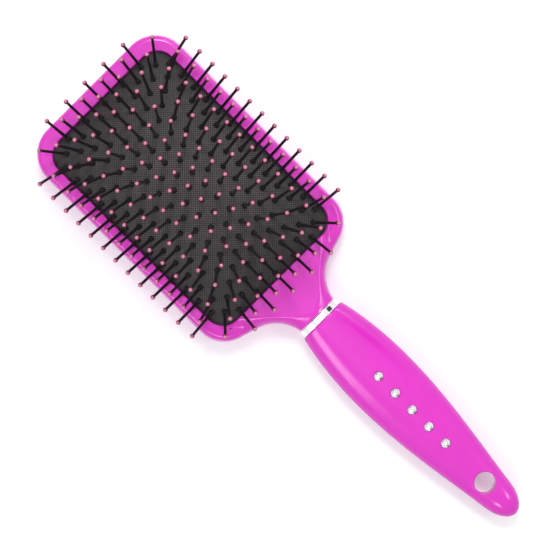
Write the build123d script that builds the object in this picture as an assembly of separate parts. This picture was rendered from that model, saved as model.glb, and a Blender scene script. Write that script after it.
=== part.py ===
from build123d import *
import os
from math import atan, hypot, radians, sin, tan

# Paddle hair brush lying on its back. +X runs from the head to the handle's end, +Z is the way
# the pins point, z = 0 is the surface under the brush, and x = y = 0 is the middle of the plan.
# Every size is in millimetres.

# Whole brush
total_length = 243.0
parting_height = 7.5            # where front and back mouldings meet, above the resting surface
fit_clearance = 0.15            # between mouldings that slot into each other

# Head
head_width = 76.0
head_side_length = 111.5        # far edge to where the slanted near edge would meet the side
far_corner_radius = 14.0
near_corner_radius = 13.5
shoulder_run = 7.7              # length over which the near edge slants from side to neck
neck_fillet_radius = 17.0
neck_root_width = 23.2
neck_width = 18.6               # at the ring
neck_end = 129.7                # far edge of the head to the ring
neck_run_on = 6.0               # how far the neck's form runs on before it is cut off at the ring
front_height = 6.0              # front frame above the parting plane
side_draft = 9.0                # degrees
front_edge_radius = 2.2
back_edge_radius = 4.5
back_wall = 2.4
vent_radius = 0.8

# Opening in the front frame
rim_side = 6.0                  # rim beside the opening
rim_far = 7.3                   # rim at the far end
opening_length = 101.0
opening_corner_radius = 8.0
lip_thickness = 2.0             # the frame's lip over the cushion's flange
lip_edge_radius = 0.6

# Rubber cushion
rubber_thickness = 1.8
flange_width = 2.4
dome_height = 10.0
dome_side_share = 0.7           # share of the square term in the dome's section across the brush
dome_end_share = 0.3            # the same along the brush; the rest is the fourth power

# Pins
row_pitch = 3.44                # rows are staggered: every other pin of a row is left out
column_pitch = 5.18
column_squeeze = 0.056          # how far the outer columns close up, as a share of their distance
pin_edge_margin = 1.5           # least distance from a pin's foot to the opening's edge
pin_root_radius = 0.75
pin_end_radius = 0.6
pin_hole_clearance = 0.06
pin_length = 17.6               # cushion to the middle of the ball
pin_head_radius = 1.2
pin_head_thickness = 0.7
pin_head_gap = 0.75             # from the rubber's underside, so a leaning head clears it
side_lean = 0.88                # tangent of the outermost pins' lean across the brush
end_lean = 0.68                 # and along it
lean_power = 1.4
ball_radius = 1.0
ball_grip = 0.7                 # how deep a pin's end sits in its ball, past the ball's middle
ring_floors = [0.85, 0.66, 0.47, 0.33, 0.2, 0.0]      # lowest share of dome height in each ring

# Chrome ring
ring_length = 3.2
ring_width = 20.3
ring_height = 13.9
ring_bulge = 0.35

# Tang that joins head and handle
tang_width = 11.0
tang_height = 6.4
tang_corner_radius = 2.0
tang_root = 15.0                # length inside the neck
tang_reach = 24.0               # length past the neck

# Handle: half width and half thickness at the control points of its side curves
body_stations = [0.0, 18.0, 45.0, 75.0]         # the last control point is at the tail's start
handle_half_widths = [10.6, 15.0, 17.3, 10.5, 7.4]
handle_half_heights = [6.95, 7.4, 7.6, 6.2, 5.3]
handle_wall = 2.8
tail_length = 11.1
tail_shoulder = 0.85            # share of the tail's length over which it keeps the body's slope
tail_roundness = 0.22            # half size of the tail's blunt end control point, as a share
hole_from_end = 18.0
hole_diameter = 8.8
hole_edge_radius = 0.9
hole_wall = 2.0
handle_peg_radius = 1.2
handle_peg_station = 8.0

# Rhinestones
stone_count = 5
stone_diameter = 3.9
stone_first = 31.5              # from the handle's start
stone_pitch = 9.5
stone_sides = 8
stone_crown = 0.75
stone_girdle = 0.25
stone_pavilion = 1.0
stone_proud = 0.55              # table above the handle
stone_seat_clearance = 0.12

# Pegs that hold the front frame
peg_radius = 0.7
peg_length = 2.6
peg_pitch = 26.0
pegs_per_side = 4
neck_peg_radius = 1.3

# Worked out from the above
opening_width = head_width - 2 * rim_side
half_rows = int((opening_length / 2 - pin_edge_margin) / row_pitch)
half_columns = int((opening_width / 2 - pin_edge_margin) / (column_pitch * (1 - column_squeeze)))
end_pin_reach = half_rows * row_pitch + pin_length * sin(atan(end_lean)) + ball_radius
pin_overhang = max(0, end_pin_reach - opening_length / 2 - rim_far)
x_far = (pin_overhang - total_length) / 2
x_ring = x_far + neck_end
x_handle = x_ring + ring_length
handle_length = total_length - neck_end - ring_length
handle_stations = body_stations + [handle_length - tail_length]
head_half = head_width / 2
x_cushion = x_far + rim_far + opening_length / 2
front_top = parting_height + front_height
cushion_edge_z = front_top - lip_thickness
pocket_growth = flange_width + fit_clearance
wall_thickness = rim_side - pocket_growth


def head_outline():
    """Face of the head and neck in plan. The neck runs on past the ring, to be cut off square."""
    shoulder = x_far + head_side_length
    root = shoulder + shoulder_run
    narrowing = (neck_root_width - neck_width) / 2 / (x_ring - root)
    end = x_ring + neck_run_on
    end_side = neck_width / 2 - narrowing * neck_run_on
    half = FilletPolyline(
        (x_far, 0),
        (x_far, head_half),
        (shoulder, head_half),
        (root, neck_root_width / 2),
        (end, end_side),
        radius=[far_corner_radius, near_corner_radius, neck_fillet_radius],
    )
    return make_face(half + mirror(half, Plane.XZ) + Line((end, end_side), (end, -end_side)))


def opening_prism(grow, low, high):
    """Block with the opening's rounded plan, grown all round, between two heights."""
    plan = RectangleRounded(
        opening_length + 2 * grow, opening_width + 2 * grow, opening_corner_radius + grow
    )
    return extrude(Pos(x_cushion, 0, low) * plan, high - low)


def tang_bar(start, end, clearance=0.0):
    """Rounded bar along X, centred on the parting plane."""
    width = tang_width + 2 * clearance
    height = tang_height + 2 * clearance
    plan = RectangleRounded(height, width, tang_corner_radius + clearance)
    return extrude(Plane((start, 0, parting_height), x_dir=(0, 0, 1), z_dir=(1, 0, 0)) * plan, end - start)


def frame_pegs(radius_growth=0.0, length=peg_length):
    """Pegs under the front frame: a row down each side, and one on each side of the neck's root."""
    pegs = []
    y_row = head_half - wall_thickness / 2
    for side in (-1, 1):
        for number in range(pegs_per_side):
            x = x_cushion + (number - (pegs_per_side - 1) / 2) * peg_pitch
            pegs.append(Pos(x, side * y_row, parting_height) * peg(peg_radius + radius_growth, length))
        x_neck = x_far + head_side_length + shoulder_run / 2 - neck_peg_radius
        y_neck = (tang_width + neck_root_width) / 4 + neck_peg_radius
        pegs.append(Pos(x_neck, side * y_neck, parting_height) * peg(neck_peg_radius + radius_growth, length))
    return pegs


def peg(radius, length):
    """A peg that hangs from z = 0."""
    return Cylinder(radius, length, align=(Align.CENTER, Align.CENTER, Align.MAX))


# --- Head mouldings ---

def head_slab(depth, edge_radius):
    """Drafted slab of the head and neck below z = 0, its low edge rounded but for the ring's end."""
    slab = extrude(head_outline(), depth, taper=side_draft)
    slab -= Pos(x_ring, 0, 0) * Box(
        2 * neck_run_on, head_width, 4 * depth, align=(Align.MIN, Align.CENTER, Align.CENTER)
    )
    low_edges = slab.faces().sort_by(Axis.Z)[0].outer_wire().edges()
    ring_edge = low_edges.sort_by(Axis.X)[-1]
    return fillet([edge for edge in low_edges if edge != ring_edge], edge_radius)


def make_back_shell():
    """Tray of the head, its upstanding wall inside the front frame, the neck and the tang."""
    body = Pos(0, 0, parting_height) * head_slab(parting_height, back_edge_radius)
    wall_top = cushion_edge_z - rubber_thickness
    body += opening_prism(flange_width, parting_height - 1, wall_top)
    body -= opening_prism(0, back_wall, wall_top + 1)
    body += tang_bar(x_ring - tang_root, x_ring + tang_reach)
    for socket in frame_pegs(radius_growth=fit_clearance / 3, length=peg_length + fit_clearance):
        body -= socket
    vent = Cylinder(vent_radius, 4 * back_wall)
    return body - Pos(x_cushion + opening_length / 2 - 10 * vent_radius, 0, back_wall) * vent


def make_front_frame():
    """Rim around the cushion and the top of the neck, with a lip over the cushion's flange."""
    body = Pos(0, 0, parting_height) * mirror(head_slab(front_height, front_edge_radius), Plane.XY)
    body -= opening_prism(0, parting_height, front_top + 1)
    inner_edges = body.faces().sort_by(Axis.Z)[-1].inner_wires()[0].edges()
    body = fillet(inner_edges, lip_edge_radius)
    body -= opening_prism(pocket_growth, parting_height - 1, cushion_edge_z)
    body -= tang_bar(x_ring - tang_root - fit_clearance, x_ring + 1, fit_clearance)
    for item in frame_pegs():
        body += item
    return body


# --- Cushion and pins ---

def even_quartic(u, share):
    """1 at the middle and 0 at u = 1: a square term with the given share, the rest fourth power."""
    return 1 - share * u**2 - (1 - share) * u**4


def dome_share(x, y):
    """Height of the dome at a plan point as a share of its height in the middle."""
    along = even_quartic((x - x_cushion) / (opening_length / 2), dome_end_share)
    across = even_quartic(y / (opening_width / 2), dome_side_share)
    return along * across


def make_cushion():
    """Domed rubber sheet with a flat flange all round and a hole for each pin.

    The dome is the product of two even quartics, which a Bezier patch holds exactly."""
    weights_along = [0, 2 - dome_end_share, 4 * dome_end_share / 3, 2 - dome_end_share, 0]
    weights_across = [0, 2 - dome_side_share, 4 * dome_side_share / 3, 2 - dome_side_share, 0]
    controls = [
        [
            Vector(
                x_cushion + (i - 2) * opening_length / 4,
                (j - 2) * opening_width / 4,
                cushion_edge_z + dome_height * weights_along[i] * weights_across[j],
            )
            for j in range(5)
        ]
        for i in range(5)
    ]
    dome = extrude(Face.make_bezier_surface(controls), rubber_thickness, dir=(0, 0, -1))
    low = cushion_edge_z - rubber_thickness
    dome = dome & opening_prism(0, low, cushion_edge_z + dome_height + 1)
    flange = opening_prism(flange_width, low, cushion_edge_z) - opening_prism(0, low, cushion_edge_z)
    cushion = flange + dome
    holes = [
        seat * Cylinder(pin_root_radius + pin_hole_clearance, 6 * rubber_thickness)
        for seat, share in pin_seats()
    ]
    return cushion - holes


def lean_blend(to_end, to_side):
    """How far a pin follows the end's lean and the side's: the nearer edge wins."""
    end_pull = to_side**lean_power
    side_pull = to_end**lean_power
    size = hypot(end_pull, side_pull)
    return end_pull / size, side_pull / size


def edge_clearance(x, y):
    """Distance from a point, given from the opening's middle, to the opening's rounded edge."""
    past_x = max(0, abs(x) - opening_length / 2 + opening_corner_radius)
    past_y = max(0, abs(y) - opening_width / 2 + opening_corner_radius)
    return opening_corner_radius - hypot(past_x, past_y)


def pin_seats():
    """Place of each pin on the dome, its own Z along the pin, and its share of the dome's height."""
    seats = []
    for column in range(-half_columns, half_columns + 1):
        v = column / half_columns
        y = column * column_pitch * (1 - column_squeeze * v**4)
        for row in range(-half_rows, half_rows + 1):
            x = row * row_pitch
            if (row + column) % 2 == 1 or edge_clearance(x, y) < pin_edge_margin:
                continue
            u = row / half_rows
            to_end = opening_length / 2 - abs(x)
            to_side = opening_width / 2 - abs(y)
            follow_end, follow_side = lean_blend(to_end, to_side)
            lean_x = end_lean * abs(u) ** lean_power * follow_end * (1 if u > 0 else -1)
            lean_y = side_lean * abs(v) ** lean_power * follow_side * (1 if v > 0 else -1)
            share = dome_share(x_cushion + x, y)
            place = Vector(x_cushion + x, y, cushion_edge_z + dome_height * share)
            seats.append((Plane(place, z_dir=(lean_x, lean_y, 1)).location, share))
    return seats


def make_pin():
    """One nylon pin along Z: a flat head under the rubber, a neck through it and a tapered shaft."""
    head_top = -rubber_thickness - pin_head_gap
    profile = Polyline(
        (0, head_top - pin_head_thickness),
        (pin_head_radius, head_top - pin_head_thickness),
        (pin_head_radius, head_top),
        (pin_root_radius, head_top),
        (pin_root_radius, 0),
        (pin_end_radius, pin_length / 2),
        (pin_end_radius, pin_length),
        (0, pin_length),
        close=True,
    )
    return revolve(Plane.XZ * make_face(profile), Axis.Z)


def make_ball():
    """One ball tip, with the blind bore that holds its pin's end."""
    bore = Cylinder(pin_end_radius, ball_radius + ball_grip, align=(Align.CENTER, Align.CENTER, Align.MAX))
    return Pos(0, 0, pin_length) * (Sphere(ball_radius) - bore)


def pin_rings():
    """The pins' seats, sorted into rings of about equal height on the dome, middle first."""
    rings = [[] for floor in ring_floors]
    for seat, share in pin_seats():
        number = next(n for n, floor in enumerate(ring_floors) if share >= floor)
        rings[number].append((seat, share))
    return rings


# --- Chrome ring and handle ---

def oval(x, half_width, half_height):
    """Upright ellipse across the brush at x, centred on the parting plane."""
    section = Plane((x, 0, parting_height), x_dir=(0, 1, 0), z_dir=(1, 0, 0))
    return section * Ellipse(half_width, half_height)


def make_neck_ring():
    """Plated collar between neck and handle, slightly barrelled, threaded over the tang."""
    half_width = ring_width / 2
    half_height = ring_height / 2
    sections = [
        oval(x_ring, half_width - ring_bulge, half_height - ring_bulge),
        oval(x_ring + ring_length / 2, half_width, half_height),
        oval(x_handle, half_width - ring_bulge, half_height - ring_bulge),
    ]
    return loft(sections) - tang_bar(x_ring - 1, x_handle + 1, fit_clearance)


def bezier(values, t):
    """Value of the Bezier curve with these control values."""
    while len(values) > 1:
        values = [(1 - t) * a + t * b for a, b in zip(values, values[1:])]
    return values[0]


def arch_patch(stations, half_widths, half_heights):
    """Upper half of a tube along X whose sections are ellipses on the parting plane.

    Each half ellipse is an exact rational cubic, whose middle control points are twice as high
    as the arch and weigh a third."""
    arch = [(1, 0, 1), (1, 2, 1 / 3), (-1, 2, 1 / 3), (-1, 0, 1)]
    controls = [
        [Vector(x_handle + x, width * across, parting_height + height * up) for across, up, weight in arch]
        for x, width, height in zip(stations, half_widths, half_heights)
    ]
    return Face.make_bezier_surface(controls, [[weight for across, up, weight in arch] for x in stations])


def tail_sizes(sizes):
    """Control values of the tail: it goes on with the body's slope, then closes to a point."""
    before, start = sizes[-2:]
    reach = tail_shoulder * tail_length / (handle_stations[-1] - handle_stations[-2])
    return [start, start + reach * (start - before), tail_roundness * start, 0]


def handle_top(inset=0.0):
    """Upper half of the handle, flat on the parting plane, or the same drawn in by a wall."""
    half_widths = [size - inset for size in handle_half_widths]
    half_heights = [size - inset for size in handle_half_heights]
    start = handle_stations[-1]
    tail_stations = [start, start + tail_shoulder * tail_length, handle_length, handle_length]
    body = arch_patch(handle_stations, half_widths, half_heights)
    tail = arch_patch(tail_stations, tail_sizes(half_widths), tail_sizes(half_heights))
    arch = body.edges().sort_by(Axis.X)[0]
    base = Line(arch @ 0, arch @ 1).edge()
    low_edges = [edge for edge in body.edges() + tail.edges() if edge.center().Z < parting_height + 0.001]
    return Solid(Shell([body, tail, Face(Wire(low_edges + [base])), Face(Wire([arch, base]))]))


def crown_at(station):
    """Height of the handle's top at a station, found by halving."""
    low, high = 0.0, 1.0
    for step in range(30):
        middle = (low + high) / 2
        if bezier(handle_stations, middle) < station:
            low = middle
        else:
            high = middle
    return parting_height + bezier(handle_half_heights, low)


def make_stone():
    """Round brilliant along Z with its table at z = 0: crown facets, girdle and a blunt point."""
    radius = stone_diameter / 2
    girdle_plan = RegularPolygon(radius, stone_sides)
    table_plan = RegularPolygon(0.55 * radius, stone_sides, rotation=180 / stone_sides)
    culet_plan = RegularPolygon(0.2 * radius, stone_sides, rotation=180 / stone_sides)
    crown = loft([Pos(0, 0, -stone_crown) * girdle_plan, table_plan], ruled=True)
    girdle_low = -stone_crown - stone_girdle
    girdle = extrude(Pos(0, 0, girdle_low) * girdle_plan, stone_girdle)
    pavilion = loft([Pos(0, 0, girdle_low - stone_pavilion) * culet_plan, Pos(0, 0, girdle_low) * girdle_plan],
                    ruled=True)
    return crown + girdle + pavilion


def stone_seats():
    """Place of each stone's table, on the crest of the handle."""
    for number in range(stone_count):
        station = stone_first + number * stone_pitch
        yield Pos(x_handle + station, 0, crown_at(station) + stone_proud)


def stone_recess():
    """What a stone's seat takes out of the handle, from the seat's place down and up."""
    depth = stone_crown + stone_girdle + stone_pavilion + stone_seat_clearance
    radius = stone_diameter / 2 + stone_seat_clearance
    recess = Cylinder(radius, depth + stone_crown, align=(Align.CENTER, Align.CENTER, Align.MIN))
    return Pos(0, 0, -depth) * recess


def handle_pegs(radius_growth=0.0, length=peg_length):
    """Pegs under the front half: two beside the tang and one behind the hanging hole."""
    seats = [(handle_peg_station, side * (tang_width + 2 * handle_half_widths[0]) / 4) for side in (-1, 1)]
    seats.append((handle_length - hole_from_end + hole_diameter / 2 + hole_wall + 2 * handle_peg_radius, 0))
    pin = peg(handle_peg_radius + radius_growth, length)
    return [Pos(x_handle + station, y, parting_height) * pin for station, y in seats]


def make_handle_halves():
    """The handle's front and back halves: hollow, with the tang's socket between them, the stones'
    recesses, and the hanging hole, whose wall stays solid."""
    hole_x = x_far + total_length - hole_from_end
    hole_radius = hole_diameter / 2
    half = handle_top() - Pos(hole_x, 0, parting_height) * Cylinder(hole_radius, 4 * parting_height)
    rim = [
        edge
        for edge in half.edges()
        if edge.length > 4 * hole_radius
        and edge.center().Z > parting_height + hole_edge_radius
        and hypot(edge.center().X - hole_x, edge.center().Y) < 1.1 * hole_radius
    ]
    half = fillet(rim, hole_edge_radius)
    cavity_start = tang_reach - ring_length + hole_wall
    cavity_end = handle_length - hole_from_end - hole_radius - hole_wall
    middle = x_handle + (cavity_start + cavity_end) / 2
    room = Pos(middle, 0, parting_height) * Box(cavity_end - cavity_start, head_width, 4 * parting_height)
    half -= handle_top(handle_wall) & room
    back = mirror(half, Plane((0, 0, parting_height)))
    socket = tang_bar(x_ring, x_ring + tang_reach + fit_clearance, fit_clearance / 2)
    front = half - socket
    back -= socket
    for seat in stone_seats():
        front -= seat * stone_recess()
    for item in handle_pegs():
        front += item
    for socket in handle_pegs(fit_clearance / 3, peg_length + fit_clearance):
        back -= socket
    return front, back


def save(name, *solids):
    """Write one node: a single solid, or several that belong together."""
    shape = solids[0] if len(solids) == 1 else Compound(list(solids))
    export_step(shape, f"parts/{name}.step")


os.makedirs("parts", exist_ok=True)
save("back_shell", make_back_shell())
save("front_frame", make_front_frame())
save("cushion", make_cushion())
save("neck_ring", make_neck_ring())
handle_front, handle_back = make_handle_halves()
save("handle_front", handle_front)
save("handle_back", handle_back)
for number, seat in enumerate(stone_seats()):
    save(f"rhinestone_{number + 1}", seat * make_stone())
for number, ring in enumerate(pin_rings()):
    save(f"pins_ring_{number + 1}", *[seat * make_pin() for seat, share in ring])
    save(f"tips_ring_{number + 1}", *[seat * make_ball() for seat, share in ring])
    mean_share = sum(share for seat, share in ring) / len(ring)
    print(f"ring {number + 1}: {len(ring)} pins, mean share of the dome's height {mean_share:.3f}")
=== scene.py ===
import bmesh
import bpy
import numpy as np
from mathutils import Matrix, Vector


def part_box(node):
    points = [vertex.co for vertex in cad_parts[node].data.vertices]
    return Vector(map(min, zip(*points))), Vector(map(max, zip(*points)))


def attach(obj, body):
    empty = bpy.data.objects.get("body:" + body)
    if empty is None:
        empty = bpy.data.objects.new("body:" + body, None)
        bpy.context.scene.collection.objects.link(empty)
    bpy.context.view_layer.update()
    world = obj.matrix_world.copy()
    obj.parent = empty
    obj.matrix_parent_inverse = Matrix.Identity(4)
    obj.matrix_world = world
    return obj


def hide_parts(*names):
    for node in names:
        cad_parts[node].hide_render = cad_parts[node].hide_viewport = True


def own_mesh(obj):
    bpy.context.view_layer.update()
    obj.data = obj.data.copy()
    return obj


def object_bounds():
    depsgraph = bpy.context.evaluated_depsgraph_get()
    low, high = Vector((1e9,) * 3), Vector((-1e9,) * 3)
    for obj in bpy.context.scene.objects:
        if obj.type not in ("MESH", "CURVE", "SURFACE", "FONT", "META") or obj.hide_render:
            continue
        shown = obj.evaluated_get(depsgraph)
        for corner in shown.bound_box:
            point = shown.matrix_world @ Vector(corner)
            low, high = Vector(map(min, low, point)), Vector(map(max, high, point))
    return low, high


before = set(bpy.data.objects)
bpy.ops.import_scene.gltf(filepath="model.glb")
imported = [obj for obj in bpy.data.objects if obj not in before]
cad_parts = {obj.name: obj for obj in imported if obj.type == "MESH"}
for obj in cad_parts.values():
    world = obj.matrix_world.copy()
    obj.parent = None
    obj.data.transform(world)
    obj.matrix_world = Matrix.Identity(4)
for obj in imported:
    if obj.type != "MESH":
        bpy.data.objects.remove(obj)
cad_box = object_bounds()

MM = 0.001


# --- Back shell ---------------------------------------------------------------------------------
# The tray that forms the brush's back and the underside of its neck, with a small vent for the
# air cushion. Injection-moulded ABS in high-gloss magenta, drafted 9 degrees and rounded below.

x_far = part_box("back_shell")[0].x
x_collar, x_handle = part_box("neck_ring")[0].x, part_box("neck_ring")[1].x
head_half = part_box("back_shell")[1].y
parting_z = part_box("handle_back")[1].z
seam_gap = 0.05 * MM
neck_root_half, neck_half = 11.6 * MM, 9.3 * MM
shoulder_x, shoulder_run = x_far + 111.5 * MM, 7.7 * MM
far_radius, near_radius, neck_radius = 14.0 * MM, 13.5 * MM, 17.0 * MM
draft = np.tan(np.radians(9.0))
back_round = 4.5 * MM
vent_x, vent_radius, vent_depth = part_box("cushion")[1].x - 10.4 * MM, 0.8 * MM, 2.4 * MM
foot_inset, vent_lip = 0.5 * MM, 0.15 * MM
collar_steps, neck_steps, fillet_steps, slant_steps = 6, 6, 22, 4
corner_steps, side_steps, far_steps = 16, 30, 10


def line_points(start, end, count):
    """Points evenly spaced from start up to, but not including, end."""
    share = np.arange(count)[:, None] / count
    return np.array(start) * (1 - share) + np.array(end) * share


def corner_arc(before, corner, after, radius, count):
    """Points of the arc that rounds a corner, from its first tangent point up to, but not
    including, the second, and that second point.

    The centre is a radius inside both sides; each point is the first spoke turned evenly."""
    before, corner, after = (np.array(p, float) for p in (before, corner, after))
    arriving = (corner - before) / np.linalg.norm(corner - before)
    leaving = (after - corner) / np.linalg.norm(after - corner)
    turn = np.arctan2(arriving[0] * leaving[1] - arriving[1] * leaving[0], arriving @ leaving)
    setback = radius * np.tan(abs(turn) / 2)
    spoke = np.sign(turn) * radius * np.array([arriving[1], -arriving[0]])
    centre = corner - arriving * setback - spoke
    angles = np.arange(count) / count * turn
    turned = np.stack([spoke[0] * np.cos(angles) - spoke[1] * np.sin(angles),
                       spoke[0] * np.sin(angles) + spoke[1] * np.cos(angles)], 1)
    return centre + turned, corner + leaving * setback


def with_mirror(half):
    """A closed loop from its half with y >= 0: the half, then its mirror image run backwards."""
    return np.concatenate([half, half[-2:0:-1] * [1, -1]])


def head_loop():
    """Plan of the head and neck at the parting plane: straight lines joined by arcs, from the
    middle of the collar's end round by y > 0 to the far edge, and mirrored."""
    collar_side, root = (x_collar, neck_half), (shoulder_x + shoulder_run, neck_root_half)
    shoulder, far_side, far_middle = (shoulder_x, head_half), (x_far, head_half), (x_far, 0)
    neck_arc, after_neck = corner_arc(collar_side, root, shoulder, neck_radius, fillet_steps)
    near_arc, after_near = corner_arc(after_neck, shoulder, far_side, near_radius, corner_steps)
    far_arc, after_far = corner_arc(after_near, far_side, far_middle, far_radius, corner_steps)
    return with_mirror(np.concatenate([
        line_points((x_collar, 0), collar_side, collar_steps),
        line_points(collar_side, neck_arc[0], neck_steps),
        neck_arc,
        line_points(after_neck, near_arc[0], slant_steps),
        near_arc,
        line_points(after_near, far_arc[0], side_steps),
        far_arc,
        line_points(after_far, far_middle, far_steps),
        [far_middle],
    ]))


def drawn_in(loop):
    """Direction in which each point of the head's loop moves as the moulding draws in.

    It is the inward normal. On the collar's end it is sideways only, in proportion to y, so
    that the end stays flat."""
    along = np.roll(loop, -1, 0) - np.roll(loop, 1, 0)
    along /= np.linalg.norm(along, axis=1)[:, None]
    inward = np.stack([-along[:, 1], along[:, 0]], 1)
    on_collar = np.isclose(loop[:, 0], x_collar)
    inward[on_collar] = np.stack([0 * loop[on_collar, 1], -loop[on_collar, 1] / neck_half], 1)
    return inward


def at_height(loop, z):
    """A plan loop as points in space at height z."""
    return np.column_stack([loop, np.broadcast_to(z, len(loop))])


def ring_faces(rings, count, first=0, closed=False):
    """Quads between each ring of count points and the next, and from the last to the first if
    the stack is closed."""
    r, c = np.meshgrid(np.arange(rings if closed else rings - 1), np.arange(count), indexing="ij")
    here, above = r * count, (r + 1) % rings * count
    quads = np.stack([here + c, here + (c + 1) % count, above + (c + 1) % count, above + c], -1)
    return (quads.reshape(-1, 4) + first).tolist()


def add_piece(name, points, faces, body, materials, smooth_angle=40, weld=0.0, face_material=None):
    """A piece from points in metres and lists of corners. Its doubles are merged within the weld
    distance, its faces are turned outwards, and edges sharper than the angle stay crisp."""
    mesh = bpy.data.meshes.new(name)
    mesh.from_pydata(np.asarray(points, float).reshape(-1, 3), [], faces)
    if face_material is not None:
        mesh.polygons.foreach_set("material_index", face_material)
    solid = bmesh.new()
    solid.from_mesh(mesh)
    if weld:
        bmesh.ops.remove_doubles(solid, verts=solid.verts, dist=weld)
        bmesh.ops.dissolve_degenerate(solid, edges=solid.edges, dist=weld)
    bmesh.ops.recalc_face_normals(solid, faces=solid.faces)
    solid.to_mesh(mesh)
    solid.free()
    mesh.polygons.foreach_set("use_smooth", np.ones(len(mesh.polygons), bool))
    mesh.set_sharp_from_angle(angle=np.radians(smooth_angle))
    for material in materials:
        mesh.materials.append(material)
    piece = bpy.data.objects.new(name, mesh)
    bpy.context.scene.collection.objects.link(piece)
    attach(piece, body)
    return piece


def node_material(name):
    """A material, its Principled shader, and a function that adds a node. The function's named
    inputs are values or sockets; _3 means the fourth input."""
    material = bpy.data.materials.new(name)
    material.use_nodes = True
    tree = material.node_tree

    def node(kind, settings=None, **inputs):
        made = tree.nodes.new("ShaderNode" + kind)
        for key, value in (settings or {}).items():
            setattr(made, key, value)
        for key, value in inputs.items():
            socket = made.inputs[int(key[1:]) if key[0] == "_" else key.replace("_", " ")]
            if isinstance(value, bpy.types.NodeSocket):
                tree.links.new(value, socket)
            else:
                socket.default_value = value
        return made

    return material, tree, tree.nodes["Principled BSDF"], node


def moulded_gloss(name, colour, roughness):
    """Glossy moulded plastic: a faint cloudiness of the colour, the slight orange peel of the
    mould as bump, and an uneven gloss."""
    material, tree, shader, node = node_material(name)
    place = node("TexCoord").outputs["Object"]
    cloud = node("TexNoise", Vector=place, Scale=45.0, Detail=2.0)
    deep, light = [c * 0.93 for c in colour] + [1], [min(1, c * 1.05) for c in colour] + [1]
    tint = node("Mix", {"data_type": "RGBA"}, Factor=cloud.outputs["Fac"], _6=deep, _7=light)
    peel = node("TexNoise", Vector=place, Scale=420.0, Detail=2.0)
    gloss = node("MapRange", Value=peel.outputs["Fac"], _3=roughness - 0.03, _4=roughness + 0.05)
    bump = node("Bump", Height=peel.outputs["Fac"], Strength=0.06, Distance=0.0003)
    tree.links.new(tint.outputs[2], shader.inputs["Base Color"])
    tree.links.new(gloss.outputs[0], shader.inputs["Roughness"])
    tree.links.new(bump.outputs[0], shader.inputs["Normal"])
    shader.inputs["Specular IOR Level"].default_value = 0.5
    return material


magenta = moulded_gloss("magenta_abs", (0.77, 0.028, 0.58), 0.16)
plan = head_loop()
inward = drawn_in(plan)
plan_count = len(plan)


def moulded_side(height, rounding):
    """Rings of a drafted side that starts at the parting plane and ends in a quarter round.

    A point's inset grows with its distance from the parting plane by the draft, then by
    rounding * (1 - cos a) as the round turns through a; the distance ends at height. The
    rounding may differ from point to point. Gives insets and distances, ring by ring."""
    rounding = np.broadcast_to(rounding, plan_count)
    wall = np.linspace(0, 1, 4)[:-1, None] * (height - rounding)
    angle = np.linspace(0, np.pi / 2, 12)[:, None]
    away = np.concatenate([wall, height - rounding + rounding * np.sin(angle)])
    inset = np.concatenate([wall * draft, (height - rounding) * draft + rounding * (1 - np.cos(angle))])
    return inset, away


inset, away = moulded_side(parting_z, back_round)
sides = [at_height(plan + inward * i[:, None], parting_z - seam_gap - a * (1 - seam_gap / parting_z))
         for i, a in zip(inset, away)]
support = at_height(plan + inward * (inset[-1] + foot_inset)[:, None], 0.0)
facing = np.arctan2(plan[:, 1], plan[:, 0] - vent_x)
vent_circle = np.array([vent_x, 0]) + vent_radius * np.stack([np.cos(facing), np.sin(facing)], 1)
vent = [at_height(vent_circle, z) for z in (0.0, vent_lip, vent_depth)]
points = np.concatenate([*sides, support, *vent])
faces = ring_faces(len(points) // plan_count, plan_count)
faces += [list(range(plan_count)), list(range(len(points) - plan_count, len(points)))]
back_shell = add_piece("back_moulding", points, faces, "brush", [magenta])
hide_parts("back_shell")


# --- Rubber cushion -----------------------------------------------------------------------------
# A domed sheet of soft black-grey rubber with a fine cloth grain, which holds the pins and traps
# the air under it. Moulded with a thick boss round each pin, and clamped by its flange.

x_middle = (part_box("cushion")[0].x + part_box("cushion")[1].x) / 2
flange, flange_clearance = 2.4 * MM, 0.03 * MM
opening_half_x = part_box("cushion")[1].x - x_middle - flange
opening_half_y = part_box("cushion")[1].y - flange
opening_radius = 8.0 * MM
cushion_z, dome_height, rubber = 11.5 * MM, 10.0 * MM, 1.8 * MM
dome_end_share, dome_side_share = 0.3, 0.7
boss_sides = 14
thread_pitch = 0.85 * MM
row_pitch, column_pitch, column_squeeze = 3.44 * MM, 5.18 * MM, 0.056
half_rows, half_columns = 14, 6
side_lean, end_lean, lean_power = 0.88, 0.68, 1.4
ring_floors = np.array([0.85, 0.66, 0.47, 0.33, 0.2, 0.0])
boss_profile = np.array([[1.6, -0.6], [1.3, -0.15], [1.12, 0.2], [1.05, 0.8],
                         [0.98, 1.4], [0.88, 1.75], [0.7, 1.85]]) * MM


def opening_loop(grow):
    """Plan of the frame's opening, grown all round: a rounded rectangle whose points match the
    head's loop one to one, so that a strip between the two is even."""
    half_x, half_y = opening_half_x + grow, opening_half_y + grow
    near_middle, near_side = (x_middle + half_x, 0), (x_middle + half_x, half_y)
    far_side, far_middle = (x_middle - half_x, half_y), (x_middle - half_x, 0)
    radius = opening_radius + grow
    near_arc, after_near = corner_arc(near_middle, near_side, far_side, radius, corner_steps)
    far_arc, after_far = corner_arc(near_side, far_side, far_middle, radius, corner_steps)
    near_steps = collar_steps + neck_steps + fillet_steps + slant_steps
    return with_mirror(np.concatenate([
        line_points(near_middle, near_arc[0], near_steps),
        near_arc,
        line_points(after_near, far_arc[0], side_steps),
        far_arc,
        line_points(after_far, far_middle, far_steps),
        [far_middle],
    ]))


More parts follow.
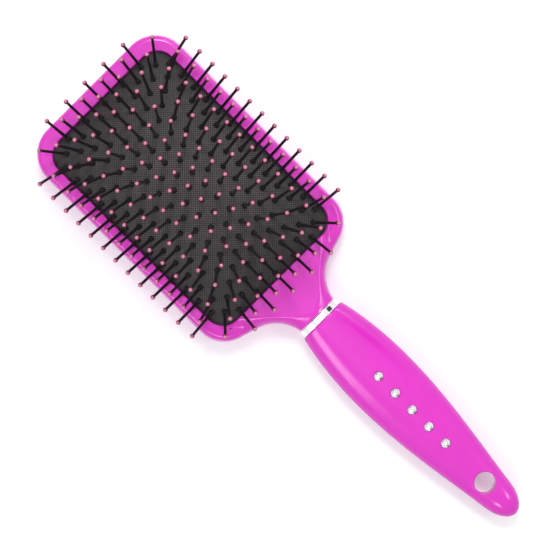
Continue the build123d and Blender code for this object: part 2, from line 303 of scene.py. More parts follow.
def dome_share(x, y):
    """Height of the dome as a share of its height in the middle: the product of two curves,
    1 - s u^2 - (1 - s) u^4, along and across the brush, u being 1 at the opening's edge."""
    u, v = (x - x_middle) / opening_half_x, y / opening_half_y
    along = 1 - dome_end_share * u**2 - (1 - dome_end_share) * u**4
    across = 1 - dome_side_share * v**2 - (1 - dome_side_share) * v**4
    return np.clip(along, 0, 1) * np.clip(across, 0, 1)


def cushion_rings(scales, drop):
    """Rings that shrink from the opening's edge to the middle, laid on the dome, dropped by the
    rubber's thickness or not at all."""
    loop = opening_loop(0.0)
    rings = []
    for scale in scales:
        ring = (loop - [x_middle, 0]) * scale + [x_middle, 0]
        rings.append(at_height(ring, cushion_z + dome_height * dome_share(ring[:, 0], ring[:, 1]) - drop))
    return rings


def cushion_rubber():
    """Charcoal rubber with a square cloth grain at 45 degrees to the brush: two sets of fine
    ribs, seen as bump and as a lighter thread, fading towards the rim, over a dusty mottle."""
    material, tree, shader, node = node_material("charcoal_rubber")
    place = node("TexCoord").outputs["Object"]
    centred = node("Mapping", Vector=place, Location=(-x_middle, 0, 0))
    turned = node("Mapping", Vector=centred.outputs[0], Rotation=(0, 0, np.pi / 4))
    axes = node("SeparateXYZ", Vector=turned.outputs[0])
    ribs = []
    for axis in (0, 1):
        phase = node("Math", {"operation": "MULTIPLY"}, _0=axes.outputs[axis], _1=2 * np.pi / thread_pitch)
        wave = node("Math", {"operation": "SINE"}, _0=phase.outputs[0])
        ribs.append(wave.outputs[0])
    grain = node("Math", {"operation": "MAXIMUM"}, _0=ribs[0], _1=ribs[1])
    threads = node("MapRange", {"interpolation_type": "SMOOTHSTEP"},
                   Value=grain.outputs[0], _1=0.55, _2=0.97)
    reach = node("VectorMath", {"operation": "LENGTH"}, _0=centred.outputs[0])
    fade = node("MapRange", Value=reach.outputs["Value"], _1=0.022, _2=0.066, _3=1.0, _4=0.22)
    mottle = node("TexNoise", Vector=place, Scale=160.0, Detail=3.0)
    patch = node("MapRange", Value=mottle.outputs["Fac"], _1=0.3, _2=0.7, _3=0.55, _4=1.0)
    strength = node("Math", {"operation": "MULTIPLY"}, _0=fade.outputs[0], _1=patch.outputs[0])
    shown = node("Math", {"operation": "MULTIPLY"}, _0=threads.outputs[0], _1=strength.outputs[0])
    tint = node("Mix", {"data_type": "RGBA"}, Factor=shown.outputs[0],
                _6=(0.020, 0.016, 0.018, 1), _7=(0.175, 0.150, 0.162, 1))
    bump = node("Bump", Height=grain.outputs[0], Strength=0.35, Distance=0.00012)
    tree.links.new(tint.outputs[2], shader.inputs["Base Color"])
    tree.links.new(bump.outputs[0], shader.inputs["Normal"])
    rough = node("MapRange", Value=mottle.outputs["Fac"], _3=0.55, _4=0.75)
    tree.links.new(rough.outputs[0], shader.inputs["Roughness"])
    shader.inputs["Specular IOR Level"].default_value = 0.3
    return material


def boss_rubber():
    """The same rubber without the grain, where it is drawn up thick and black round a pin."""
    material, tree, shader, node = node_material("boss_rubber")
    mottle = node("TexNoise", Vector=node("TexCoord").outputs["Object"], Scale=400.0, Detail=2.0)
    tint = node("Mix", {"data_type": "RGBA"}, Factor=mottle.outputs["Fac"],
                _6=(0.008, 0.007, 0.008, 1), _7=(0.020, 0.018, 0.020, 1))
    rough = node("MapRange", Value=mottle.outputs["Fac"], _3=0.45, _4=0.65)
    tree.links.new(tint.outputs[2], shader.inputs["Base Color"])
    tree.links.new(rough.outputs[0], shader.inputs["Roughness"])
    shader.inputs["Specular IOR Level"].default_value = 0.3
    return material


def pin_seats():
    """Foot, direction and ring of each pin.

    Pins stand on a staggered grid; the outer columns close up with the fourth power of their
    place. A pin leans outwards with the 1.4th power of its place, and near a corner it follows
    the nearer edge. Its ring is the first whose floor is below its share of the dome's height."""
    i, j = np.meshgrid(np.arange(-half_rows, half_rows + 1), np.arange(-half_columns, half_columns + 1))
    kept = ((i + j) % 2 == 0) & ~((abs(i) == half_rows) & (abs(j) == half_columns))
    i, j = i[kept], j[kept]
    u, v = i / half_rows, j / half_columns
    x, y = i * row_pitch, j * column_pitch * (1 - column_squeeze * v**4)
    end_pull = (opening_half_y - abs(y)) ** lean_power
    side_pull = (opening_half_x - abs(x)) ** lean_power
    size = np.hypot(end_pull, side_pull)
    lean_x = end_lean * abs(u) ** lean_power * end_pull / size * np.sign(u)
    lean_y = side_lean * abs(v) ** lean_power * side_pull / size * np.sign(v)
    share = dome_share(x_middle + x, y)
    foot = np.column_stack([x_middle + x, y, cushion_z + dome_height * share])
    direction = np.column_stack([lean_x, lean_y, np.ones(len(x))])
    direction /= np.linalg.norm(direction, axis=1)[:, None]
    return foot, direction, np.argmax(share[:, None] >= ring_floors, axis=1)


def turned_bodies(feet, directions, profile, sides):
    """The same turned shape on many axes, closed at both ends: radius times two directions square
    to the axis, plus height along it, for every foot at once."""
    side = np.cross(directions, [0.0, 1.0, 0.0])
    side /= np.linalg.norm(side, axis=1)[:, None]
    other = np.cross(directions, side)
    angle = np.arange(sides) / sides * 2 * np.pi
    spokes = (side[:, None, None] * np.cos(angle)[None, None, :, None]
              + other[:, None, None] * np.sin(angle)[None, None, :, None])
    points = (feet[:, None, None] + directions[:, None, None] * profile[None, :, 1, None, None]
              + spokes * profile[None, :, 0, None, None])
    each = len(profile) * sides
    one = ring_faces(len(profile), sides) + [list(range(sides)), list(range(each - sides, each))]
    faces = [[corner + n * each for corner in face] for n in range(len(feet)) for face in one]
    return points.reshape(-1, 3), faces


charcoal = cushion_rubber()
feet, directions, ring_of_pin = pin_seats()
top_scales = np.sin(np.linspace(np.pi / 2, 0, 42)[:-1])
top_rings = cushion_rings(top_scales, 0.0)
low_rings = cushion_rings(top_scales[::-1], rubber)
flange_top = at_height(opening_loop(flange), cushion_z - flange_clearance)
flange_low = at_height(opening_loop(flange), cushion_z - rubber)
rings = [*top_rings[::-1], flange_top, flange_low, *low_rings[::-1]]
crest = [x_middle, 0, cushion_z + dome_height]
points = np.concatenate([*rings, [crest], [[*crest[:2], crest[2] - rubber]]])
faces = ring_faces(len(rings), plan_count)
last = (len(rings) - 1) * plan_count
around = np.arange(plan_count)
following = (around + 1) % plan_count
faces += np.stack([following, around, np.full(plan_count, len(points) - 2)], 1).tolist()
faces += np.stack([around + last, following + last, np.full(plan_count, len(points) - 1)], 1).tolist()
cushion = add_piece("cushion_rubber", points, faces, "brush", [charcoal])
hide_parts("cushion")
points, faces = turned_bodies(feet, directions, boss_profile, boss_sides)
bosses = add_piece("pin_bosses", points, faces, "brush", [boss_rubber()], smooth_angle=60)
for soft in (cushion, bosses):
    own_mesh(soft)


# --- Front frame --------------------------------------------------------------------------------
# The rim that clamps the cushion and carries on as the top of the neck, in the same magenta ABS.
# Its top is nearly flat with a rounded shoulder, its lip is rounded over, and it snaps on by pegs.

front_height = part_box("front_frame")[1].z - parting_z
rim_round, neck_round = 2.2 * MM, 3.2 * MM
lip_round, lip_underside = 0.6 * MM, cushion_z
pocket = 2.55 * MM
dish_depth, dish_x, dish_long, dish_wide = 0.5 * MM, -1.5 * MM, 9.0 * MM, 10.0 * MM
shield_tip, shield_round, shield_edge = x_collar - 1.9 * MM, 3.85 * MM, 1.1 * MM
shield_slope, shield_fall, shield_start = 0.62, 2.2 * MM, 6 * MM
turn_start, turn_length = 8 * MM, 14 * MM       # where the head's shape turns into the neck's


def neck_share(x):
    """0 on the head and 1 on the neck, turning smoothly where the shoulder falls."""
    share = np.clip((x - shoulder_x + turn_start) / turn_length, 0, 1)
    return share**2 * (3 - 2 * share)


def shaped(points):
    """Points of the frame with the neck's top as a flat shield that points at the collar.

    Outside the shield's edge, two lines at 45 degrees joined by a curve, the top slopes down:
    the fall is slope * (d + sqrt(d^2 + e^2) - e) / 2 for a distance d from the edge. Heights
    above the parting plane shrink in that proportion. A shallow bell-shaped hollow lies inside."""
    x, y, z = points.T
    past = (np.hypot(y, shield_round) - shield_round + x - shield_tip) / np.sqrt(2)
    fall = shield_slope * (past + np.hypot(past, shield_edge) - shield_edge) / 2
    fall = np.clip(fall, 0, shield_fall) * neck_share(x + shield_start)
    bell = np.exp(-((x - dish_x) / dish_long) ** 2 - (y / dish_wide) ** 2)
    sunk = (fall + dish_depth * bell * neck_share(x)) / front_height
    return np.column_stack([x, y, z - sunk * (z - parting_z - seam_gap)])


rounding = rim_round + (neck_round - rim_round) * neck_share(plan[:, 0])
inset, away = moulded_side(front_height, rounding)
outer = [at_height(plan + inward * i[:, None], parting_z + seam_gap + a * (1 - seam_gap / front_height))
         for i, a in zip(inset, away)]
shoulder_ring = outer[-1]
outer = [shaped(ring) for ring in outer]
lip_edge = at_height(opening_loop(lip_round), parting_z + front_height)
shares = np.linspace(0, 1, 49)[1:]
plateau = [shaped(shoulder_ring * (1 - s) + lip_edge * s) for s in shares]
lip_angles = np.linspace(0, np.pi / 2, 6)[1:]
lip = [at_height(opening_loop(lip_round * (1 - np.sin(a))),
                 parting_z + front_height - lip_round * (1 - np.cos(a))) for a in lip_angles]
under = [at_height(opening_loop(0.0), lip_underside), at_height(opening_loop(pocket), lip_underside),
         at_height(opening_loop(pocket), parting_z + seam_gap)]
rings = [*outer, *plateau, *lip, *under]
faces = ring_faces(len(rings), plan_count, closed=True)
front_frame = add_piece("front_rim_and_neck", np.concatenate(rings), faces, "brush",
                        [magenta])
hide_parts("front_frame")


# --- Pins and ball tips -------------------------------------------------------------------------
# Black nylon pins, headed under the rubber and slightly tapered, each dipped at its end in a ball
# of pink resin. They move in six rings with the part of the cushion that they stand in.

pin_profile = np.array([[0.75, -0.5], [0.75, 0.6], [0.68, 3.0], [0.6, 9.0], [0.6, 17.0]]) * MM
pin_length, ball_radius = 17.6 * MM, 1.0 * MM
pole_radius, pole_share = 0.2 * MM, 0.98        # the small flat that closes a ball at each end
pin_sides, ball_sides = 10, 12


def nylon():
    """Black nylon with a slight satin unevenness, greyer along its moulding."""
    material, tree, shader, node = node_material("black_nylon")
    place = node("TexCoord").outputs["Object"]
    uneven = node("TexNoise", Vector=place, Scale=700.0, Detail=2.0)
    tint = node("Mix", {"data_type": "RGBA"}, Factor=uneven.outputs["Fac"],
                _6=(0.006, 0.004, 0.007, 1), _7=(0.020, 0.014, 0.020, 1))
    rough = node("MapRange", Value=uneven.outputs["Fac"], _3=0.28, _4=0.42)
    tree.links.new(tint.outputs[2], shader.inputs["Base Color"])
    tree.links.new(rough.outputs[0], shader.inputs["Roughness"])
    return material


def pink_resin():
    """Pink dipped resin, a little cloudy, with painted light on each ball: light pink on top as a
    painted highlight from above, deep red round its sides and foot, partly painted shade and
    partly where the resin has run thin over the black pin."""
    material, tree, shader, node = node_material("pink_resin")
    place = node("TexCoord").outputs["Object"]
    cloud = node("TexNoise", Vector=place, Scale=900.0, Detail=2.0)
    # The crown attribute is the height on the ball: it paints a light pink top as painted highlight and
    # deep red sides as painted shade.
    crown = node("Attribute", {"attribute_name": "crown"})
    mixed = node("Math", {"operation": "MULTIPLY_ADD"},
                 _0=cloud.outputs["Fac"], _1=0.3, _2=crown.outputs["Fac"])
    painted_top_light = node("MapRange", {"interpolation_type": "SMOOTHSTEP"}, Value=mixed.outputs[0], _1=0.45, _2=1.15)
    tint = node("Mix", {"data_type": "RGBA"}, Factor=painted_top_light.outputs[0],
                _6=(0.15, 0.006, 0.040, 1), _7=(0.68, 0.19, 0.33, 1))
    rough = node("MapRange", Value=cloud.outputs["Fac"], _3=0.18, _4=0.32)
    tree.links.new(tint.outputs[2], shader.inputs["Base Color"])
    tree.links.new(rough.outputs[0], shader.inputs["Roughness"])
    shader.inputs["Coat Weight"].default_value = 0.3
    return material


black_nylon, tip_resin = nylon(), pink_resin()
ball_angles = np.linspace(-np.pi / 2, np.pi / 2, 8)[1:-1]
ball_profile = np.concatenate([
    [[pole_radius, pin_length - pole_share * ball_radius]],
    np.column_stack([ball_radius * np.cos(ball_angles), pin_length + ball_radius * np.sin(ball_angles)]),
    [[pole_radius, pin_length + pole_share * ball_radius]],
])
# Height on each ball, which the resin shader turns into painted light: a painted highlight on top and
# painted shade round the sides.
ball_light_height = (ball_profile[:, 1] - pin_length) / ball_radius
for ring in range(len(ring_floors)):
    mine = ring_of_pin == ring
    body = f"pin_ring_{ring + 1}"
    points, faces = turned_bodies(feet[mine], directions[mine], pin_profile, pin_sides)
    pins = add_piece(f"nylon_pins_{ring + 1}", points, faces, body, [black_nylon])
    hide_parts(f"pins_ring_{ring + 1}")
    points, faces = turned_bodies(feet[mine], directions[mine], ball_profile, ball_sides)
    tips = add_piece(f"ball_tips_{ring + 1}", points, faces, body, [tip_resin], smooth_angle=80)
    crown = tips.data.attributes.new("crown", "FLOAT", "POINT")
    crown.data.foreach_set("value", np.tile(np.repeat(ball_light_height, ball_sides), np.count_nonzero(mine)))
    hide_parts(f"tips_ring_{ring + 1}")


# --- Neck collar --------------------------------------------------------------------------------
# A short brass collar between neck and handle, chromium plated and polished. It is slightly
# barrelled with rounded edges, threads over the tang, and is clamped between the mouldings.

collar_low, collar_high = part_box("neck_ring")
collar_half_y, collar_half_z = collar_high.y, (collar_high.z - collar_low.z) / 2
collar_bulge, collar_edge = 0.015 * MM, 0.25 * MM
neck_joint, handle_joint = 0.30 * MM, 0.12 * MM         # fine open joints at its two ends
collar_start, collar_length = x_collar + neck_joint, x_handle - x_collar - neck_joint - handle_joint


def chrome():
    """Polished chromium plate: near-white metal whose gloss is broken by fine polishing lines
    round the collar and by faint handling haze."""
    material, tree, shader, node = node_material("polished_chrome")
    place = node("TexCoord").outputs["Object"]
    stretched = node("Mapping", Vector=place, Scale=(6000.0, 150.0, 150.0))
    lines = node("TexNoise", Vector=stretched.outputs[0], Scale=1.0, Detail=2.0)
    haze = node("TexNoise", Vector=place, Scale=250.0, Detail=3.0)
    both = node("Math", {"operation": "MULTIPLY"}, _0=lines.outputs["Fac"], _1=haze.outputs["Fac"])
    rough = node("MapRange", Value=both.outputs[0], _1=0.1, _2=0.5, _3=0.03, _4=0.12)
    bump = node("Bump", Height=lines.outputs["Fac"], Strength=0.05, Distance=0.0001)
    tint = node("Mix", {"data_type": "RGBA"}, Factor=haze.outputs["Fac"],
                _6=(0.80, 0.81, 0.83, 1), _7=(0.93, 0.93, 0.94, 1))
    tree.links.new(tint.outputs[2], shader.inputs["Base Color"])
    tree.links.new(rough.outputs[0], shader.inputs["Roughness"])
    tree.links.new(bump.outputs[0], shader.inputs["Normal"])
    shader.inputs["Metallic"].default_value = 1.0
    return material


polished_chrome = chrome()
edge_turn = np.linspace(0, np.pi / 2, 5)
edge_x, edge_in = collar_edge * (1 - np.cos(edge_turn)), collar_edge * (1 - np.sin(edge_turn))
barrel_x = np.linspace(collar_edge, collar_length - collar_edge, 9)
station = np.concatenate([edge_x, barrel_x[1:-1], collar_length - edge_x[::-1]])
middle = 2 * station / collar_length - 1
drawn = collar_bulge * middle**2 + np.concatenate([edge_in, np.zeros(len(barrel_x) - 2), edge_in[::-1]])
turn = np.linspace(0, 2 * np.pi, 96, endpoint=False)
points = np.stack([
    np.broadcast_to((collar_start + station)[:, None], (len(station), len(turn))),
    (collar_half_y - drawn)[:, None] * np.cos(turn),
    parting_z + (collar_half_z - drawn)[:, None] * np.sin(turn),
], -1)
faces = ring_faces(len(station), len(turn))
faces += [list(range(len(turn))), list(range((len(station) - 1) * len(turn), len(station) * len(turn)))]
collar = add_piece("chrome_collar", points, faces, "brush", [polished_chrome])
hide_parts("neck_ring")


# --- Handle -------------------------------------------------------------------------------------
# Two glossy halves that close on the tang and are welded along the parting line. The front half
# has five round recesses for stones, and the hanging hole passes through both.

x_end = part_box("handle_front")[1].x
handle_length = x_end - x_handle
tail_length, tail_shoulder, tail_roundness = 11.1 * MM, 0.85, 0.22
body_stations = np.array([0.0, 18.0, 45.0, 75.0, 0.0]) * MM
body_stations[-1] = handle_length - tail_length
body_widths = np.array([10.6, 15.0, 17.3, 10.5, 7.4]) * MM
body_heights = np.array([6.95, 7.4, 7.6, 6.2, 5.3]) * MM
hole_x, hole_radius, hole_round = x_end - 18.0 * MM, 4.4 * MM, 0.9 * MM
stone_names = [f"rhinestone_{n + 1}" for n in range(5)]
stone_radius = (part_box("rhinestone_1")[1].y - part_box("rhinestone_1")[0].y) / 2
recess_radius, recess_round, recess_depth = stone_radius + 0.12 * MM, 0.12 * MM, 2.0 * MM
start_round, seam_fade = 0.5 * MM, 10 * MM
stone_reach, hole_reach = 4.75 * MM, 6.2 * MM   # half the stretch of handle round each
arch_steps, row_spacing = 44, 1.2 * MM


def bezier(values, t):
    """Value at t of the Bezier curve with these control values, by repeated halving of pairs."""
    values = list(values)
    while len(values) > 1:
        values = [(1 - t) * a + t * b for a, b in zip(values, values[1:])]
    return values[0]


def tail_values(sizes):
    """Control values of the tail: it goes on with the body's slope, then closes to a point."""
    reach = tail_shoulder * tail_length / (body_stations[-1] - body_stations[-2])
    return [sizes[-1], sizes[-1] + reach * (sizes[-1] - sizes[-2]), tail_roundness * sizes[-1], 0.0]


t = np.linspace(0, 1, 1500)
tail_stations = [body_stations[-1], body_stations[-1] + tail_shoulder * tail_length,
                 handle_length, handle_length]
station_table = np.concatenate([bezier(body_stations, t), bezier(tail_stations, t)[1:]])
width_table = np.concatenate([bezier(body_widths, t), bezier(tail_values(body_widths), t)[1:]])
height_table = np.concatenate([bezier(body_heights, t), bezier(tail_values(body_heights), t)[1:]])


def on_handle(x, arch, drawn=0.0):
    """Point of the handle's upper half at x and at an angle round its elliptical section, or of
    the same section drawn in all round."""
    width = np.interp(x - x_handle, station_table, width_table) - drawn
    height = np.interp(x - x_handle, station_table, height_table) - drawn
    return np.stack([x + 0 * arch, width * np.cos(arch), parting_z + height * np.sin(arch)], -1)


def plain_band(stations, drawn=0.0):
    """Rows of points over the arch at the given places along the handle."""
    arch = np.linspace(0, np.pi, arch_steps + 1)
    return on_handle(x_handle + np.asarray(stations)[:, None], arch[None, :], np.asarray(drawn))


def holed_band(start, end, centre, radius, rounding, depth):
    """A stretch of the handle with a round hole in the middle of its top.

    Each point of the stretch's border, in station and arch angle, is joined to the hole's rim
    at the same bearing, and the points between lie on the handle's skin. The rim rolls over in
    a parabola that leaves along the skin and ends upright, and the wall goes down to a depth."""
    arch = np.linspace(0, np.pi, arch_steps + 1)
    side = np.linspace(start, end, 9)[1:-1]
    border_x = np.concatenate([np.full(arch_steps + 1, start), side,
                               np.full(arch_steps + 1, end), side[::-1]])
    border_arch = np.concatenate([arch, np.full(7, np.pi), arch[::-1], np.zeros(7)])
    bearing = np.arctan2((np.pi / 2 - border_arch) / (np.pi / 2), (border_x - centre) / ((end - start) / 2))
    rim = radius + rounding
    rim_x, rim_y = centre + rim * np.cos(bearing), rim * np.sin(bearing)
    rim_arch = np.arccos(rim_y / np.interp(rim_x - x_handle, station_table, width_table))
    share = (np.linspace(1, 0, 15) ** 1.4)[:, None]
    skin = on_handle(rim_x + share * (border_x - rim_x), rim_arch + share * (border_arch - rim_arch))
    edge = skin[-1]
    inner_x, inner_y = centre + radius * np.cos(bearing), radius * np.sin(bearing)
    width = np.interp(inner_x - x_handle, station_table, width_table)
    height = np.interp(inner_x - x_handle, station_table, height_table)
    corner = np.stack([inner_x, inner_y, parting_z + height * np.sqrt(1 - (inner_y / width) ** 2)], -1)
    foot = corner - [0, 0, rounding]
    roll = np.linspace(0, 1, 7)[1:, None, None]
    rolled = (1 - roll) ** 2 * edge + 2 * roll * (1 - roll) * corner + roll**2 * foot
    low = foot.copy()
    low[:, 2] = parting_z if depth is None else np.max(corner[:, 2]) - depth
    return np.concatenate([skin, rolled, low[None]])


def handle_half(up, gap, recesses):
    """Closed mesh of one half: its skin, and the same grid laid flat on the parting plane. Rows
    are turned over the plane for the lower half and moved off it by half the seam's gap."""
    turn = np.linspace(0, np.pi / 2, 6)
    start_rows = plain_band((start_round * (1 - np.cos(turn))), (start_round * (1 - np.sin(turn)))[:, None])
    hole_start, hole_end = hole_x - x_handle - hole_reach, hole_x - x_handle + hole_reach
    marks = [start_round]
    sheets = [(start_rows, False)]
    if recesses:
        for name in stone_names:
            centre = (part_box(name)[0].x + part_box(name)[1].x) / 2 - x_handle
            band = (centre - stone_reach, centre + stone_reach)
            sheets.append((holed_band(band[0] + x_handle, band[1] + x_handle, centre + x_handle,
                                      recess_radius, recess_round, recess_depth), True))
            marks += [band[0], band[1]]
    sheets.append((holed_band(hole_start + x_handle, hole_end + x_handle, hole_x,
                              hole_radius, hole_round, None), True))
    marks += [hole_start, hole_end, body_stations[-1]]
    for first, last in zip(marks[0::2], marks[1::2]):
        rows = max(2, int((last - first) / row_spacing) + 1)
        if last - first > 1e-7:
            sheets.append((plain_band(np.linspace(first, last, rows)), False))
    tail_t = np.linspace(0, 1, 26)
    sheets.append((plain_band(bezier(tail_stations, tail_t)), False))
    points, faces = [], []
    first = 0
    for sheet, ringed in sheets:
        rows, columns = sheet.shape[:2]
        flat = sheet.copy()
        flat[..., 2] = parting_z
        for layer in (sheet, flat):
            quads = np.array(ring_faces(rows, columns, first)).reshape(rows - 1, columns, 4)
            faces += quads[:, :columns if ringed else -1].reshape(-1, 4).tolist()
            if ringed and recesses and sheet[-1, 0, 2] > parting_z + 1e-9:
                faces.append((first + (rows - 1) * columns + np.arange(columns)).tolist())
            points.append(layer.reshape(-1, 3))
            first += rows * columns
    strip = np.stack([start_rows[0], start_rows[0] * [1, 1, 0] + [0, 0, parting_z]])
    faces += ring_faces(2, arch_steps + 1, first)[:-1]
    points.append(strip.reshape(-1, 3))
    points = np.concatenate(points)
    height = points[:, 2] - parting_z
    points[:, 2] = parting_z + (1 if up else -1) * (height + gap * (1 - height / seam_fade))
    return points, faces


points, faces = handle_half(True, seam_gap, True)
handle_top = add_piece("handle_front_moulding", points, faces, "brush", [magenta],
                       weld=1e-6)
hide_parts("handle_front")
points, faces = handle_half(False, seam_gap, False)
handle_low = add_piece("handle_back_moulding", points, faces, "brush", [magenta],
                       weld=1e-6)
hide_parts("handle_back")


# --- Rhinestones --------------------------------------------------------------------------------
# Five round brilliants of clear glass with a silver foil on their pavilions, each glued by its
# foiled underside in a recess of the handle's crest.

crown_height, girdle_height, pavilion_height = 0.75 * MM, 0.25 * MM, 1.0 * MM


def cut_stone(centre):
    """Points and faces of a round brilliant with its table up.

    Rings of points at even angles: eight round the table, eight at the break of the crown half
    a step on, sixteen round the top and the foot of the girdle, and one at the point below."""
    eight = np.arange(8) * np.pi / 4
    sixteen = np.arange(16) * np.pi / 8

    def ring(angles, share, drop):
        return np.stack([share * stone_radius * np.cos(angles), share * stone_radius * np.sin(angles),
                         np.full(len(angles), -drop)], 1)

    foot = crown_height + girdle_height
    points = np.concatenate([ring(eight, 0.56, 0), ring(eight + np.pi / 8, 0.82, 0.45 * crown_height),
                             ring(sixteen, 1.0, crown_height), ring(sixteen, 1.0, foot),
                             [[0, 0, -foot - pavilion_height]]]) + centre
    n = np.arange(8)
    table, crown_break, girdle, lower = n, 8 + n, 16 + 2 * n, 32 + np.arange(16)
    after = (n + 1) % 8
    faces = [table.tolist()]
    faces += np.stack([table, crown_break, table[after]], 1).tolist()
    faces += np.stack([table, crown_break[n - 1], girdle, crown_break], 1).tolist()
    faces += np.stack([crown_break, girdle, girdle + 1], 1).tolist()
    faces += np.stack([crown_break, girdle + 1, girdle[after]], 1).tolist()
    faces += ring_faces(2, 16, 16)
    crown_faces = len(faces)
    faces += np.stack([lower, np.roll(lower, -1), np.full(16, 48)], 1).tolist()
    return points, faces, crown_faces


def glass():
    """Clear lead glass with the faint unevenness of a pressed stone."""
    material, tree, shader, node = node_material("clear_glass")
    place = node("TexCoord").outputs["Object"]
    uneven = node("TexNoise", Vector=place, Scale=1500.0, Detail=1.0)
    rough = node("MapRange", Value=uneven.outputs["Fac"], _3=0.0, _4=0.04)
    tint = node("Mix", {"data_type": "RGBA"}, Factor=uneven.outputs["Fac"],
                _6=(0.97, 0.97, 0.98, 1), _7=(1.0, 1.0, 1.0, 1))
    tree.links.new(tint.outputs[2], shader.inputs["Base Color"])
    tree.links.new(rough.outputs[0], shader.inputs["Roughness"])
    shader.inputs["Transmission Weight"].default_value = 1.0
    shader.inputs["IOR"].default_value = 1.56
    return material


def foil():
    """Silver foil behind the glass, slightly crinkled."""
    material, tree, shader, node = node_material("silver_foil")
    place = node("TexCoord").outputs["Object"]
    crinkle = node("TexNoise", Vector=place, Scale=1800.0, Detail=2.0)
    tint = node("Mix", {"data_type": "RGBA"}, Factor=crinkle.outputs["Fac"],
                _6=(0.78, 0.78, 0.80, 1), _7=(0.98, 0.98, 1.0, 1))
    bump = node("Bump", Height=crinkle.outputs["Fac"], Strength=0.2, Distance=0.0001)
    rough = node("MapRange", Value=crinkle.outputs["Fac"], _3=0.03, _4=0.12)
    tree.links.new(tint.outputs[2], shader.inputs["Base Color"])
    tree.links.new(rough.outputs[0], shader.inputs["Roughness"])
    tree.links.new(bump.outputs[0], shader.inputs["Normal"])
    shader.inputs["Metallic"].default_value = 1.0
    return material


clear_glass, silver_foil = glass(), foil()
for name in stone_names:
    low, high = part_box(name)
    points, faces, crown_faces = cut_stone([(low.x + high.x) / 2, 0.0, high.z])
    kinds = np.arange(len(faces)) >= crown_faces
    stone = add_piece(f"cut_{name}", points, faces, "brush", [clear_glass, silver_foil],
                      smooth_angle=1, face_material=kinds.astype(np.int32))
    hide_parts(name)


# --- Studio -------------------------------------------------------------------------------------
# White paper in a bright room: a key by the head's left, a strip that draws the handle's long
# highlight, a broad panel overhead, small ones for rims, neck and crest, and a felt flag that
# darkens one patch of the collar. The camera looks straight down.

view_x, view_y, view_height = -11.62 * MM, -0.6 * MM, 950.0 * MM
view_turn, view_angle = np.radians(44.95), np.radians(13.55)
floor_z, floor_half = cad_box[0][2] - 0.1 * MM, 3.0
paper_lift, room_light, mirrored_light = 0.25, 0.38, 1.0
flag_ends, flag_middle, flag_half = (-0.035, 0.08), 0.57, 0.10


def floor_material():
    """Matt white paper. A camera or mirror ray sees it lifted to white, and it keeps shadows."""
    material, tree, shader, node = node_material("white_paper")
    place = node("TexCoord").outputs["Object"]
    fibre = node("TexNoise", Vector=place, Scale=300.0, Detail=2.0)
    tint = node("Mix", {"data_type": "RGBA"}, Factor=fibre.outputs["Fac"],
                _6=(0.84, 0.87, 0.86, 1), _7=(0.87, 0.90, 0.89, 1))
    path = node("LightPath")
    seen = node("Math", {"operation": "MAXIMUM"},
                _0=path.outputs["Is Camera Ray"], _1=path.outputs["Is Glossy Ray"])
    also = node("Math", {"operation": "MAXIMUM"},
                _0=seen.outputs[0], _1=path.outputs["Is Transmission Ray"])
    lift = node("Math", {"operation": "MULTIPLY"}, _0=also.outputs[0], _1=paper_lift)
    tree.links.new(tint.outputs[2], shader.inputs["Base Color"])
    shader.inputs["Roughness"].default_value = 0.9
    shader.inputs["Specular IOR Level"].default_value = 0.0
    shader.inputs["Emission Color"].default_value = (1, 1, 1, 1)
    tree.links.new(lift.outputs[0], shader.inputs["Emission Strength"])
    return material


floor_mesh = bpy.data.meshes.new("floor")
floor_corners = ((-1, -1), (1, -1), (1, 1), (-1, 1))
floor_mesh.from_pydata([(x * floor_half, y * floor_half, floor_z) for x, y in floor_corners],
                       [], [(0, 1, 2, 3)])
floor_mesh.materials.append(floor_material())
floor = bpy.data.objects.new("floor", floor_mesh)
bpy.context.scene.collection.objects.link(floor)


def panel(name, place, size, power, soft):
    """A softbox at a place, turned to face the brush's middle. Its light fades towards its edges
    over a share of each half side."""
    lamp = bpy.data.lights.new(name, "AREA")
    lamp.shape, lamp.size, lamp.size_y, lamp.energy = "RECTANGLE", size[0], size[1], power
    lamp.use_nodes = True
    tree = lamp.node_tree
    across = tree.nodes.new("ShaderNodeSeparateXYZ")
    tree.links.new(tree.nodes.new("ShaderNodeNewGeometry").outputs["Parametric"], across.inputs[0])
    glow = None
    for axis in (0, 1):
        offset = tree.nodes.new("ShaderNodeMath")
        offset.operation, offset.inputs[1].default_value = "SUBTRACT", 0.5
        tree.links.new(across.outputs[axis], offset.inputs[0])
        apart = tree.nodes.new("ShaderNodeMath")
        apart.operation = "ABSOLUTE"
        tree.links.new(offset.outputs[0], apart.inputs[0])
        fade = tree.nodes.new("ShaderNodeMapRange")
        fade.interpolation_type = "SMOOTHSTEP"
        for socket, value in zip(fade.inputs[1:5], (0.5 * (1 - soft), 0.5, 1.0, 0.0)):
            socket.default_value = value
        tree.links.new(apart.outputs[0], fade.inputs[0])
        if glow is None:
            glow = fade
            continue
        both = tree.nodes.new("ShaderNodeMath")
        both.operation = "MULTIPLY"
        tree.links.new(glow.outputs[0], both.inputs[0])
        tree.links.new(fade.outputs[0], both.inputs[1])
        tree.links.new(both.outputs[0], tree.nodes["Emission"].inputs["Strength"])
    holder = bpy.data.objects.new(name, lamp)
    bpy.context.scene.collection.objects.link(holder)
    holder.location = place
    holder.rotation_euler = (-holder.location).to_track_quat("-Z", "Y").to_euler()


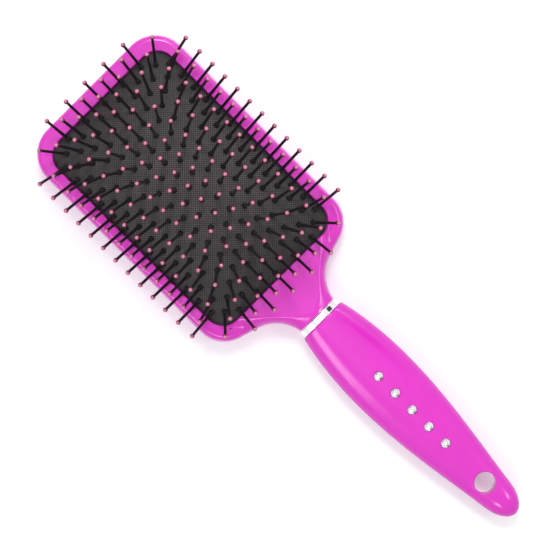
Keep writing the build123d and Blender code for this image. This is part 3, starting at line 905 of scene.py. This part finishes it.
panel("key", (-0.38, 0.34, 0.82), (0.34, 0.34), 5.6, 0.4)
panel("strip", (-0.05, -0.62, 0.62), (0.42, 0.46), 3.2, 0.6)
panel("top", (-0.3, -0.1, 1.4), (1.3, 1.3), 3.2, 0.6)
panel("rim_light", (-0.34, 0.80, 0.45), (0.60, 0.07), 2.2, 0.4)
panel("neck_left", (0.45, 0.45, 0.62), (0.26, 0.16), 1.2, 0.4)
panel("neck_right", (0.45, -0.45, 0.62), (0.26, 0.16), 1.2, 0.4)
panel("crest_line", (0.08, 0.30, 0.95), (0.20, 0.03), 0.03, 1.0)


def felt_material():
    """Grey felt, mottled by its fibres."""
    material, tree, shader, node = node_material("grey_felt")
    fluff = node("TexNoise", Vector=node("TexCoord").outputs["Object"], Scale=60.0, Detail=2.0)
    tint = node("Mix", {"data_type": "RGBA"}, Factor=fluff.outputs["Fac"],
                _6=(0.05, 0.045, 0.05, 1), _7=(0.11, 0.10, 0.11, 1))
    tree.links.new(tint.outputs[2], shader.inputs["Base Color"])
    shader.inputs["Specular IOR Level"].default_value = 0.0
    return material


flag_mesh = bpy.data.meshes.new("flag")
flag_mesh.from_pydata([(x, flag_middle + flag_half * t, flag_middle - flag_half * t)
                       for t in (-1, 1) for x in flag_ends], [], [(0, 1, 3, 2)])
flag_mesh.materials.append(felt_material())
flag = bpy.data.objects.new("flag", flag_mesh)
bpy.context.scene.collection.objects.link(flag)

world = bpy.data.worlds.new("studio")
world.use_nodes = True
sky, tree = world.node_tree.nodes["Background"], world.node_tree
sky.inputs["Color"].default_value = (1, 1, 1, 1)
path = tree.nodes.new("ShaderNodeLightPath")
bright = path.outputs["Is Camera Ray"]
for kind in ("Is Glossy Ray", "Is Transmission Ray"):
    either = tree.nodes.new("ShaderNodeMath")
    either.operation = "MAXIMUM"
    tree.links.new(bright, either.inputs[0])
    tree.links.new(path.outputs[kind], either.inputs[1])
    bright = either.outputs[0]
strength = tree.nodes.new("ShaderNodeMapRange")
for socket, value in zip(strength.inputs[1:5], (0.0, 1.0, room_light, mirrored_light)):
    socket.default_value = value
tree.links.new(bright, strength.inputs[0])
tree.links.new(strength.outputs[0], sky.inputs["Strength"])
bpy.context.scene.world = world

lens = bpy.data.cameras.new("camera")
lens.angle = view_angle
lens.clip_start = 0.01
camera = bpy.data.objects.new("camera", lens)
camera.location = (view_x, view_y, parting_z + view_height)
camera.rotation_euler = (0, 0, view_turn)
bpy.context.scene.collection.objects.link(camera)
bpy.context.scene.camera = camera
bpy.context.scene.view_settings.view_transform = "Standard"
